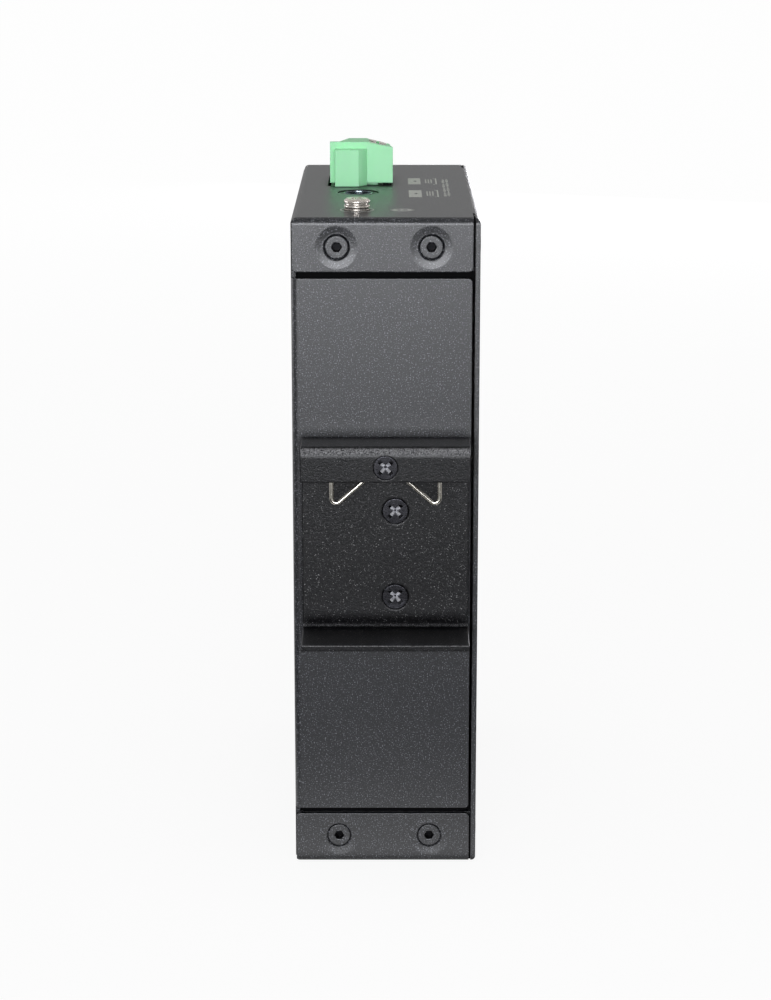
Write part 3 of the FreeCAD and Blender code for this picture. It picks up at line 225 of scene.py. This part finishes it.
finishes = {
    # Slate black walls with a fine even sparkle, painted glints as a few pale dots, a faint painted
    # highlight on bends and painted shade in corners
    "casePaint": powderCoat("fine grit powder coat, slate black", {
        "colour": "#111215", "cloudColour": "#0f1013", "grainColour": "#35363c", "grain": 0.8,
        "paintedGlintColour": "#8e9096", "paintedGlint": 0.6, "dotSize": 0.26, "dotStart": 0.61,
        "gritSize": 0.26, "gritDepth": 0.036, "peelSize": 1.4, "peel": 0.06, "roughness": 0.34,
        "specular": 0.9, "edge": 0.28, "cornerReach": 2.5, "cornerStart": 0.6, "cornerShine": 0.3,
        "cornerShade": 0.5, "bend": 0.1, "bendHighlightColour": "#6a6a6e"}),
    # Deeper black with coarser grit, painted glints as pale dots, a painted highlight on each bend and
    # painted shade in the corners
    "bracketPaint": powderCoat("fine grit powder coat, black", {
        "colour": "#0b0b0d", "cloudColour": "#0a0a0b", "grainColour": "#222225", "grain": 0.7,
        "paintedGlintColour": "#b8b8b8", "paintedGlint": 0.55, "dotSize": 0.22, "dotStart": 0.68,
        "gritSize": 0.3, "gritDepth": 0.06, "peelSize": 1.2, "peel": 0.1, "roughness": 0.35,
        "specular": 0.37, "edge": 0.4, "cornerReach": 4.0, "cornerStart": 0.85,
        "cornerShine": 0.02, "cornerShade": 1.0, "bend": 0.8, "bendHighlightColour": "#98989a"}),
    # Dark grey screw heads with a soft metal shine
    "blackZinc": platedSteel("black zinc plate on steel", {
        "colour": "#5a5a5f", "stainColour": "#434347", "roughness": 0.24}),
    # Nearly black walls that show only at a glancing light: unpainted steel and painted shade in the screw
    # sockets
    "darkSteel": platedSteel("black oxide on steel", {
        "colour": "#1c1c1e", "stainColour": "#141415", "roughness": 0.35, "edge": 0.1}),
    # Painted glints: a near-white finish at the bottom of a cross recess
    "recessGlint": platedSteel("painted glint, near-white steel", {
        "colour": "#f2f2f6", "stainColour": "#a8a8ae", "roughness": 0.25, "metal": 0.55}),
    # Painted shade: dead matt black that fills the slits, where only shade shows
    "shadeBlack": moulding("dead black filler for slit shade", {
        "colour": "#0c0c0d", "flowColour": "#0a0a0b", "roughness": 0.9, "specular": 0.1}),
    # Warm bright silver with painted shade in its grooves
    "nickel": platedSteel("nickel plate on steel", {
        "colour": "#fbf4ec", "stainColour": "#e8ded1", "roughness": 0.24, "metal": 0.78, "grooveShade": 0.95,
        "grooveReach": 0.7}),
    # Cooler, duller silver that shows as a thin crescent in the bore
    "barrelNickel": platedSteel("dull nickel strip", {
        "colour": "#a9b6bd", "stainColour": "#8d9aa2", "roughness": 0.22}),
    # Plain silver grey with fine turning marks
    "brightZinc": platedSteel("bright zinc plate on steel", {
        "colour": "#c9ccd1", "stainColour": "#aeb2b8", "roughness": 0.33}),
    # Warm silver with long faint streaks
    "springWire": platedSteel("oiled spring wire", {
        "colour": "#f4f0e6", "stainColour": "#dad5c9", "roughness": 0.2, "lines": (1, 1, 0.4)}),
    # Pale green that glows a little at its thin edges
    "greenPlug": moulding("green polyamide, plug", {
        "colour": "#9fe6b1", "flowColour": "#9ae2ac", "roughness": 0.4,
        "depth": 0.25, "depthRadius": (0.5, 1.4, 0.6), "edge": 0.22}),
    # Painted shade: a deeper, plainer copy of the plug's green for the header below the panel
    "shadedGreenHeader": moulding("green polyamide, header, darkened for shade", {
        "colour": "#5fb878", "flowColour": "#58b071", "roughness": 0.42}),
    # Satin black with a faint grey bloom
    "blackSocket": moulding("black glass-filled polyester", {
        "colour": "#1f1f21", "flowColour": "#262628", "roughness": 0.38}),
    # Mid silver sheet with rolling streaks across it
    "shieldTin": platedSteel("tinned shield sheet", {
        "colour": "#cfd0d2", "stainColour": "#b9bbbe", "roughness": 0.3, "lines": (1, 5, 1)}),
    # Warm yellow contacts in the dark of a socket
    "goldFlash": platedSteel("gold flash on copper alloy", {
        "colour": "#e2b75c", "stainColour": "#cf9f45", "roughness": 0.24}),
    # Glossy dark green, slightly uneven over the tracks
    "boardMask": moulding("green solder mask", {
        "colour": "#1d5b36", "flowColour": "#184f2f", "roughness": 0.25, "grainSize": 0.6}),
    # Satin near-black blocks
    "chipEpoxy": moulding("black chip epoxy", {
        "colour": "#232325", "flowColour": "#1d1d1f", "roughness": 0.5}),
    # Sandy dark grey
    "coilFerrite": moulding("pressed ferrite powder", {
        "colour": "#4b4b4d", "flowColour": "#3f3f41", "roughness": 0.6, "grain": 0.8}),
    # Pale grey with fine drawing lines
    "drawnAluminium": platedSteel("drawn aluminium", {
        "colour": "#d4d6d9", "stainColour": "#c2c5c9", "roughness": 0.34}),
    # Frosted green windows beside each network socket
    "greenLens": clearMoulding("green tinted port lens", {
        "colour": "#9fd98f", "flowColour": "#94cf84", "roughness": 0.22, "clear": 0.4,
        "bending": 1.49}),
    # Frosted clear dots on the port panel
    "clearGuide": clearMoulding("clear polycarbonate light guide", {
        "colour": "#e4ece6", "flowColour": "#dbe4de", "roughness": 0.16, "clear": 0.7,
        "bending": 1.49}),
    # Chalky off-white that greys where it is worn
    "whiteInk": printedInk("screen printed ink, white", {
        "colour": "#b9bbb5", "wornColour": "#9b9d98", "roughness": 0.55}),
    # Dark strokes left out of the filled boxes
    "darkInk": printedInk("screen printed ink, knocked out", {
        "colour": "#4a4b4d", "wornColour": "#3c3d3f", "roughness": 0.5}),
    # Thin lines that look greyer than the boxes
    "fineInk": printedInk("screen printed ink, fine lines", {
        "colour": "#b2b4ae", "wornColour": "#969892", "roughness": 0.55}),
}
print("finishes mixed:", len(finishes))

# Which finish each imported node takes
nodeFinishes = {
    "casePaint": ["cover", "chassis", "rear_flange_screws", "front_flange_screws", "side_screws"],
    "bracketPaint": ["din_bracket"],
    "blackZinc": ["bracket_screws", "hook_screw"],
    "nickel": ["ground_screw", "ground_flat_washer", "ground_spring_washer", "clamp_screws"],
    "brightZinc": ["press_nuts", "spring_nut", "ground_nut", "board_pillars", "board_screws"],
    "springWire": ["rail_spring"],
    "greenPlug": ["terminal_plug"],
    "shadedGreenHeader": ["terminal_header"],
    "blackSocket": ["power_socket", "port_transformers"] + ["port_%d_insert" % n for n in range(1, 6)],
    "shieldTin": ["port_%d_shield" % n for n in range(1, 6)],
    "goldFlash": ["terminal_pins", "port_contacts", "power_socket_pin"],
    "boardMask": ["main_board"],
    "chipEpoxy": ["switch_chip", "power_chip"],
    "coilFerrite": ["power_coils"],
    "drawnAluminium": ["heat_sink", "capacitors"],
    "greenLens": ["port_lights"],
    "clearGuide": ["status_lights"],
}
for finish, names in nodeFinishes.items():
    for name in names:
        for place in nodes[name].material_slots:
            place.material = finishes[finish]
print("nodes finished:", sum(len(names) for names in nodeFinishes.values()))


def finishPiece(mesh, name, finish):
    data = bpy.data.meshes.new(name)
    mesh.to_mesh(data)
    mesh.free()
    data.materials.append(finishes[finish])
    piece = bpy.data.objects.new(name, data)
    bpy.context.scene.collection.objects.link(piece)
    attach(piece, "root")


def addBlock(mesh, middle, size):
    made = bmesh.ops.create_cube(mesh, size=1.0)
    place = (Matrix.Translation([value * mm for value in middle])
             @ Matrix.Diagonal([value * mm for value in size] + [1]))
    bmesh.ops.transform(mesh, matrix=place, verts=made["verts"])


def closedOutline(mesh, points):  # joins the points in a loop
    verts = [mesh.verts.new([value * mm for value in point]) for point in points]
    edges = [mesh.edges.new((vert, verts[(i + 1) % len(verts)])) for i, vert in enumerate(verts)]
    return verts + edges


def spinRound(mesh, outline, x, y, steps):  # turns a closed outline about the upright line through x, y
    bmesh.ops.spin(mesh, geom=outline, cent=(x * mm, y * mm, 0), axis=(0, 0, 1), dvec=(0, 0, 0),
                   angle=math.tau, steps=steps, use_merge=True, use_duplicate=False)


# The top panel's outer face, the earth screw's place on it, and what all printed marks share
panelTop = 137.0
earthPlace = (-5.8, -33.9)
ink = {"thick": 0.02, "ringSteps": 48}


def inkBar(mesh, x, y, lengthX, lengthY, z=panelTop):
    addBlock(mesh, (x, y, z + ink["thick"] / 2), (lengthX, lengthY, ink["thick"]))


def inkRing(mesh, x, y, radius, width):
    inner, outer = x + radius - width / 2, x + radius + width / 2
    top = panelTop + ink["thick"]
    outline = closedOutline(mesh, [(inner, y, panelTop), (outer, y, panelTop), (outer, y, top),
                                   (inner, y, top)])
    spinRound(mesh, outline, x, y, ink["ringSteps"])
    bmesh.ops.recalc_face_normals(mesh, faces=mesh.faces[:])


# Marks on the top panel: filled boxes, brackets, dashes and a strip of ticks beside the terminal plug
panelMarks = {
    "boxes": [((6.35, 13.4), 2.75, 10.6), ((6.35, -8.2), 2.75, 11.4)],
    "strokes": [(0.9, 0.32), (0.3, 1.7)], "strokeShift": 0.2,
    "dashX": (8.9, 9.5, 10.1), "dashY": [(13.3, 6.6), (-8.0, 7.2)], "dashWidth": 0.3,
    "bracketX": 11.15, "bracketY": [(13.2, 10.8), (-8.0, 11.6)], "bracketWidth": 0.3,
    "bracketArm": 0.7,
    "tickX": (12.7, 13.5), "tickFrom": -12.0, "tickRows": 19, "tickStep": 1.55, "tickLength": 0.95,
    "tickWidths": (0.62, 0.4, 0.62, 0.2, 0.5), "tickTurn": (2, 3),
}


def makePanelMarks(look):
    mesh, fine, dark = bmesh.new(), bmesh.new(), bmesh.new()
    for (x, y), sizeX, sizeY in look["boxes"]:
        inkBar(mesh, x, y, sizeX, sizeY)
        for strokeX, strokeY in look["strokes"]:
            inkBar(dark, x + look["strokeShift"], y, strokeX, strokeY, panelTop + ink["thick"])
    for y, length in look["bracketY"]:
        inkBar(mesh, look["bracketX"], y, look["bracketWidth"], length)
        for side in (-1, 1):
            inkBar(mesh, look["bracketX"] - look["bracketArm"] / 2,
                   y + side * (length - look["bracketWidth"]) / 2, look["bracketArm"], look["bracketWidth"])
    for y, length in look["dashY"]:
        for x in look["dashX"]:
            inkBar(fine, x, y, look["dashWidth"], length)
    for row in range(look["tickRows"]):
        for column, x in enumerate(look["tickX"]):
            turn = row * look["tickTurn"][0] + column * look["tickTurn"][1]
            width = look["tickWidths"][turn % len(look["tickWidths"])]
            inkBar(fine, x, look["tickFrom"] + row * look["tickStep"], width, look["tickLength"])
    finishPiece(mesh, "panel_label_boxes", "whiteInk")
    finishPiece(fine, "panel_fine_marks", "fineInk")
    finishPiece(dark, "panel_box_strokes", "darkInk")


# Polarity sign for the power socket: a pin dot in a ring, minus and plus in rings, an oval rim round all
polaritySign = {
    "x": 3.45, "y": -34.2, "ring": 0.62, "line": 0.22, "outer": 0.68, "gap": 1.62, "arm": 0.62,
    "rim": 1.65, "rimLine": 0.36, "rimStretch": 1.36,
}


def makePolaritySign(look):
    mesh, rim = bmesh.new(), bmesh.new()
    x, y, line = look["x"], look["y"], look["line"]
    inkRing(mesh, x, y, look["ring"], line)
    inkRing(mesh, x, y, line, line)
    reach = look["gap"] - look["outer"] / 2 - look["ring"]
    for side in (-1, 1):
        inkBar(mesh, x + side * (look["ring"] + reach / 2), y, reach, line)
        inkBar(mesh, x + side * look["gap"], y, look["arm"], line)
        inkRing(mesh, x + side * look["gap"], y, look["outer"], line)
    inkBar(mesh, x + look["gap"], y, line, look["arm"])
    inkRing(rim, 0, 0, look["rim"], look["rimLine"])
    place = Matrix.Translation((x * mm, y * mm, 0)) @ Matrix.Diagonal((look["rimStretch"], 1, 1, 1))
    bmesh.ops.transform(rim, matrix=place, verts=rim.verts[:])
    finishPiece(rim, "polarity_rim", "whiteInk")
    finishPiece(mesh, "polarity_sign", "whiteInk")


# Earth ring printed round the ground screw
earthRing = {"radius": 3.35, "width": 0.3}


def makeEarthRing(look):
    mesh = bmesh.new()
    inkRing(mesh, *earthPlace, look["radius"], look["width"])
    finishPiece(mesh, "earth_ring", "whiteInk")


makePanelMarks(panelMarks)
makePolaritySign(polaritySign)
makeEarthRing(earthRing)
print("printed marks made")


# Spring fingers above and below each network socket, which press on the panel's window
shieldFingers = {
    "count": 5, "pitch": 17.4, "lowest": 33.7, "x": (-8.1, -2.5), "halfHeight": 8.1, "face": 45.6,
    "length": 5.0, "width": 2.2, "sheet": 0.05, "rise": 0.22, "steps": 4,
}


def makeShieldFingers(look):
    mesh = bmesh.new()
    back = look["face"] - look["length"]
    for number in range(look["count"]):
        middle = look["lowest"] + number * look["pitch"]
        for side in (-1, 1):
            for x in look["x"]:
                made = bmesh.ops.create_grid(mesh, x_segments=1, y_segments=look["steps"], size=0.5)
                at = (x, back + look["length"] / 2, middle + side * look["halfHeight"])
                place = (Matrix.Translation([value * mm for value in at])
                         @ Matrix.Diagonal((look["width"] * mm, look["length"] * mm, 1, 1)))
                bmesh.ops.transform(mesh, matrix=place, verts=made["verts"])
                for vert in made["verts"]:
                    along = (vert.co.y / mm - back) / look["length"]
                    vert.co.z += side * look["rise"] * math.sin(math.pi * along) * mm
    bmesh.ops.solidify(mesh, geom=mesh.faces[:], thickness=look["sheet"] * mm)
    finishPiece(mesh, "shield_fingers", "shieldTin")


makeShieldFingers(shieldFingers)
print("shield fingers made")


# Sprung barrel contact that lines the power socket's bore, with a rolled rim
socketBarrel = {
    "x": -5.86, "y": -5.7, "top": 136.95, "length": 8.0, "radius": 3.12, "sheet": 0.24, "roll": 0.2,
    "shoulder": 0.06, "steps": 48,
}


def makeSocketBarrel(look):
    mesh = bmesh.new()
    outer, inner = look["radius"], look["radius"] - look["sheet"]
    top, low = look["top"], look["top"] - look["length"]
    profile = [(outer, low), (outer, top - look["roll"]), (outer - look["shoulder"], top - look["shoulder"]),
               (outer - look["roll"], top), (inner, top - look["roll"]), (inner, low)]
    outline = closedOutline(mesh, [(look["x"] + radius, look["y"], z) for radius, z in profile])
    spinRound(mesh, outline, look["x"], look["y"], look["steps"])
    bmesh.ops.recalc_face_normals(mesh, faces=mesh.faces[:])
    finishPiece(mesh, "socket_barrel", "barrelNickel")


makeSocketBarrel(socketBarrel)
print("socket barrel made")


# Dark cups that line the hex sockets in the case screws: unpainted steel, and painted shade inside the
# sockets
hexCups = {
    "radius": 0.99, "depth": 1.6, "sink": 0.32, "sheet": 0.03, "weld": 0.005,
    "flangeX": (-9.8, 9.2), "rear": -46.0, "front": 46.0, "sideX": 19.2, "sideY": (-39.0, 39.0),
    "rows": (5.95, 131.05),
}


def hexCup(mesh, look, place):
    tube = bmesh.ops.create_cone(mesh, cap_ends=False, segments=6, radius1=look["radius"] * mm,
                                 radius2=look["radius"] * mm, depth=look["depth"] * mm)
    end = bmesh.ops.create_circle(mesh, cap_ends=True, segments=6, radius=look["radius"] * mm)
    bmesh.ops.translate(mesh, verts=end["verts"], vec=(0, 0, look["depth"] / 2 * mm))
    bmesh.ops.transform(mesh, matrix=place, verts=tube["verts"] + end["verts"])


def makeHexCups(look):
    mesh = bmesh.new()
    into = (look["sink"] + look["depth"] / 2) * mm
    for z in look["rows"]:
        for face, inward in ((look["rear"], 1), (look["front"], -1)):
            turn = Matrix.Rotation(math.radians(-90 * inward), 4, "X")
            for x in look["flangeX"]:
                hexCup(mesh, look, Matrix.Translation((x * mm, face * mm + inward * into, z * mm)) @ turn)
        turn = Matrix.Rotation(math.radians(-90), 4, "Y")
        for y in look["sideY"]:
            hexCup(mesh, look, Matrix.Translation((look["sideX"] * mm - into, y * mm, z * mm)) @ turn)
    bmesh.ops.remove_doubles(mesh, verts=mesh.verts[:], dist=look["weld"] * mm)
    bmesh.ops.recalc_face_normals(mesh, faces=mesh.faces[:])
    bmesh.ops.solidify(mesh, geom=mesh.faces[:], thickness=look["sheet"] * mm)
    finishPiece(mesh, "screw_socket_shade_cups", "darkSteel")


makeHexCups(hexCups)
print("screw sockets lined")


# Painted glint: a bright cone at the bottom of each cross recess, in place of the glints of light there
recessGlintCones = {
    "radius": 1.25, "tip": 0.02, "depth": 1.0, "sink": 0.25, "sheet": 0.03, "sides": 32,
    "places": [(2.0, -47.2, 77.0), (2.0, -47.2, 58.8), (0.0, -57.2, 88.45)],
}


def makeRecessGlintCones(look):
    mesh = bmesh.new()
    for x, y, z in look["places"]:
        made = bmesh.ops.create_cone(mesh, cap_ends=False, segments=look["sides"],
                                     radius1=look["tip"] * mm, radius2=look["radius"] * mm,
                                     depth=look["depth"] * mm)
        place = (Matrix.Translation((x * mm, (y + look["sink"] + look["depth"] / 2) * mm, z * mm))
                 @ Matrix.Rotation(math.radians(90), 4, "X"))
        bmesh.ops.transform(mesh, matrix=place, verts=made["verts"])
    bmesh.ops.solidify(mesh, geom=mesh.faces[:], thickness=look["sheet"] * mm)
    finishPiece(mesh, "cross_recess_glint_cones", "recessGlint")


makeRecessGlintCones(recessGlintCones)
print("recess cones made")


# Rolled edges of the earth screw's head and spring washer: height, radius and bead of each
screwBeads = {"rings": [(137.84, 2.34, 0.32), (138.8, 2.34, 0.36)], "sides": 14, "steps": 64}


def makeScrewBeads(look):
    mesh = bmesh.new()
    x, y = earthPlace
    for height, radius, bead in look["rings"]:
        ring = bmesh.ops.create_circle(mesh, cap_ends=False, segments=look["sides"], radius=bead * mm)
        place = (Matrix.Translation(((x + radius) * mm, y * mm, height * mm))
                 @ Matrix.Rotation(math.radians(90), 4, "X"))
        bmesh.ops.transform(mesh, matrix=place, verts=ring["verts"])
        edges = dict.fromkeys(edge for vert in ring["verts"] for edge in vert.link_edges)
        spinRound(mesh, ring["verts"] + list(edges), x, y, look["steps"])
    bmesh.ops.recalc_face_normals(mesh, faces=mesh.faces[:])
    for face in mesh.faces:
        face.smooth = True
    finishPiece(mesh, "earth_screw_beads", "nickel")


makeScrewBeads(screwBeads)
print("earth screw beads made")


# Painted shade: black blocks in the relief slits at the right corners, a plug behind the face and one under
# the bend
reliefShadeFills = {"x": (17.62, 17.98), "y": (39.05, 44.5, 45.02, 45.45),
               "low": (0.1, 0.55, 1.0, 10.0), "high": (136.9, 136.45, 136.0, 127.0)}


def makeReliefShadeFills(look):
    mesh = bmesh.new()
    left, right = look["x"]
    back, bend, inner, face = look["y"]
    for side in (-1, 1):
        for flush, sunk, under, end in (look["low"], look["high"]):
            for first, last, skin, base in ((back, bend, flush, under), (inner, face, sunk, end)):
                addBlock(mesh, ((left + right) / 2, side * (first + last) / 2, (skin + base) / 2),
                         (right - left, last - first, abs(skin - base)))
    finishPiece(mesh, "relief_slit_shade", "shadeBlack")


makeReliefShadeFills(reliefShadeFills)
print("relief slits sealed")


# Painted shade: black strips behind the slits between the flanges and the panels
slitShadeStrips = {
    "from": 43.75, "thick": 0.5, "left": -17.95, "tabRight": 16.85, "right": 17.95,
    "slits": [(8.9, 10.95, 15.5), (128.1, 126.05, 121.5)],
}


def makeSlitShadeStrips(look):
    mesh = bmesh.new()
    for face in (-1, 1):
        y = face * (look["from"] - look["thick"] / 2)
        for tabEnd, edge, panelEnd in look["slits"]:
            for left, right, first in ((look["left"], look["tabRight"], tabEnd),
                                       (look["tabRight"], look["right"], edge)):
                addBlock(mesh, ((left + right) / 2, y, (first + panelEnd) / 2),
                         (right - left, look["thick"], abs(panelEnd - first)))
    finishPiece(mesh, "slit_shade_strips", "shadeBlack")


makeSlitShadeStrips(slitShadeStrips)
print("slit gaskets made")


# White paper to the camera, greyer to light that bounces off it. A mirrored ray meets a grey that
# changes with the distance from the object, or a pale one on the port side.
paperFloor = {
    "half": 4.0, "paper": "#fdfdfd", "bounce": "#a4a4a4", "near": 0.15, "far": 1.0, "nearLift": 0.9,
    "farLift": 0.98, "gleam": [(0.06, 0.9), (0.12, 0.05), (0.3, 0.05), (0.6, 0.45)],
    "aside": "#a8a8a8", "asideLimits": (0.0, 0.08),
}


def makeFloor(look):
    mesh = bmesh.new()
    bmesh.ops.create_grid(mesh, x_segments=1, y_segments=1, size=look["half"])
    data = bpy.data.meshes.new("studio_floor")
    mesh.to_mesh(data)
    mesh.free()
    floor = bpy.data.objects.new("studio_floor", data)
    bpy.context.scene.collection.objects.link(floor)
    material = bpy.data.materials.new("matt white paper floor")
    material.use_nodes = True
    data.materials.append(material)
    tree = material.node_tree
    tree.nodes.remove(tree.nodes["Principled BSDF"])
    where = addNode(tree, "TexCoord", output="Object")
    away = addNode(tree, "VectorMath", {0: where}, "Value", operation="LENGTH")
    lift = addNode(tree, "MapRange", {"Value": away, "From Min": look["near"], "From Max": look["far"],
                                      "To Min": look["nearLift"], "To Max": look["farLift"]})
    paper = addNode(tree, "BsdfDiffuse", {"Color": look["paper"]})
    seen = addNode(tree, "MixShader", {0: lift, 1: paper, 2: addNode(tree, "Emission")})
    gleam = addNode(tree, "ValToRGB", {0: away})
    stops = gleam.node.color_ramp.elements
    stops[0].position, stops[1].position = look["gleam"][0][0], look["gleam"][-1][0]
    for distance, _ in look["gleam"][1:-1]:
        stops.new(distance)
    for stop, (_, level) in zip(stops, look["gleam"]):
        stop.color = (level, level, level, 1.0)
    along = addNode(tree, "SeparateXYZ", {0: where}, "Y")
    shine = addNode(tree, "Emission", {"Color": mottle(tree, along, look["asideLimits"], gleam,
                                                       look["aside"])})
    dim = addNode(tree, "BsdfDiffuse", {"Color": look["bounce"]})
    mirrored = addNode(tree, "LightPath", output="Is Glossy Ray")
    camera = addNode(tree, "LightPath", output="Is Camera Ray")
    unseen = addNode(tree, "MixShader", {0: mirrored, 1: dim, 2: shine})
    chosen = addNode(tree, "MixShader", {0: camera, 1: unseen, 2: seen})
    tree.links.new(chosen, tree.nodes["Material Output"].inputs["Surface"])


# Pale surround: plain white to the camera, dimmer light, and two greys in mirrors and clear parts,
# one behind the camera and one behind the object
paleWorld = {"light": 0.36, "backdrop": 0.48, "behindCamera": 0.16, "turn": (-0.2, 0.7)}


def makeWorld(look):
    world = bpy.data.worlds.new("pale studio")
    bpy.context.scene.world = world
    world.use_nodes = True
    tree = world.node_tree
    tree.nodes.remove(tree.nodes["Background"])
    along = addNode(tree, "SeparateXYZ", {0: addNode(tree, "TexCoord", output="Generated")}, "Y")
    facing = addNode(tree, "MapRange", {"Value": along, "From Min": look["turn"][0],
                                        "From Max": look["turn"][1], "To Min": look["behindCamera"],
                                        "To Max": look["backdrop"]})
    dim, mirror, white = (addNode(tree, "Background", {"Color": "#ffffff", "Strength": strength})
                          for strength in (look["light"], facing, 1.0))
    glossy = addNode(tree, "LightPath", output="Is Glossy Ray")
    through = addNode(tree, "LightPath", output="Is Transmission Ray")
    camera = addNode(tree, "LightPath", output="Is Camera Ray")
    either = addNode(tree, "Math", {0: glossy, 1: through}, operation="MAXIMUM")
    unseen = addNode(tree, "MixShader", {0: either, 1: dim, 2: mirror})
    chosen = addNode(tree, "MixShader", {0: camera, 1: unseen, 2: white})
    tree.links.new(chosen, tree.nodes["World Output"].inputs["Surface"])


# Softboxes round the object; one that isn't mirrored adds light but no reflection
def addLamp(name, look):
    data = bpy.data.lights.new(name, "AREA")
    data.shape = "RECTANGLE"
    data.size, data.size_y = look["size"]
    data.energy = look["watts"]
    data.color = hexColour(look["colour"])[:3]
    lamp = bpy.data.objects.new(name, data)
    lamp.location = look["at"]
    aim = Vector(look["aim"]) - Vector(look["at"])
    lamp.rotation_euler = aim.to_track_quat("-Z", "Y").to_euler()
    lamp.visible_glossy = look["mirrored"]
    bpy.context.scene.collection.objects.link(lamp)


lamps = {
    "front_softbox": {"at": (-0.12, -1.15, 0.27), "aim": (0, 0, 0.08), "size": (0.8, 0.34),
                      "watts": 8.8, "colour": "#f8faff", "mirrored": True},
    "front_fill": {"at": (0.3, -1.1, 0.45), "aim": (0, 0, 0.1), "size": (0.6, 0.6),
                   "watts": 1.6, "colour": "#f8faff", "mirrored": False},
    "right_softbox": {"at": (1.1, 0.3, 0.07), "aim": (0, 0.05, 0.07), "size": (0.5, 0.11),
                      "watts": 2.0, "colour": "#fbfbff", "mirrored": True},
    "left_softbox": {"at": (-1.1, 0.3, 0.07), "aim": (0, 0.05, 0.07), "size": (0.5, 0.11),
                     "watts": 2.0, "colour": "#fbfbff", "mirrored": True},
    "port_softbox": {"at": (0.3, 1.0, 0.07), "aim": (0, 0.05, 0.07), "size": (0.8, 0.11),
                     "watts": 3.0, "colour": "#fbfbff", "mirrored": True},
    "overhead_softbox": {"at": (-0.05, -0.15, 0.95), "aim": (0, 0, 0.08), "size": (0.9, 0.7),
                         "watts": 2.0, "colour": "#fffdfa", "mirrored": False},
}
for name, look in lamps.items():
    addLamp(name, look)
makeFloor(paperFloor)
makeWorld(paleWorld)
print("studio set")


# Camera solved from the case's edges: it looks along +Y, a little down
cameraSetup = {"at": (0.0, -552.8, 206.6), "down": 14.12, "lens": 91.97, "sensor": 36.0,
               "clipStart": 0.01}


def makeCamera(look):
    data = bpy.data.cameras.new("product_camera")
    data.lens = look["lens"]
    data.sensor_width = look["sensor"]
    data.clip_start = look["clipStart"]
    camera = bpy.data.objects.new("product_camera", data)
    camera.location = [value * mm for value in look["at"]]
    camera.rotation_euler = (math.radians(90 - look["down"]), 0, 0)
    bpy.context.scene.collection.objects.link(camera)
    bpy.context.scene.camera = camera


makeCamera(cameraSetup)
bpy.context.scene.view_settings.view_transform = "Standard"
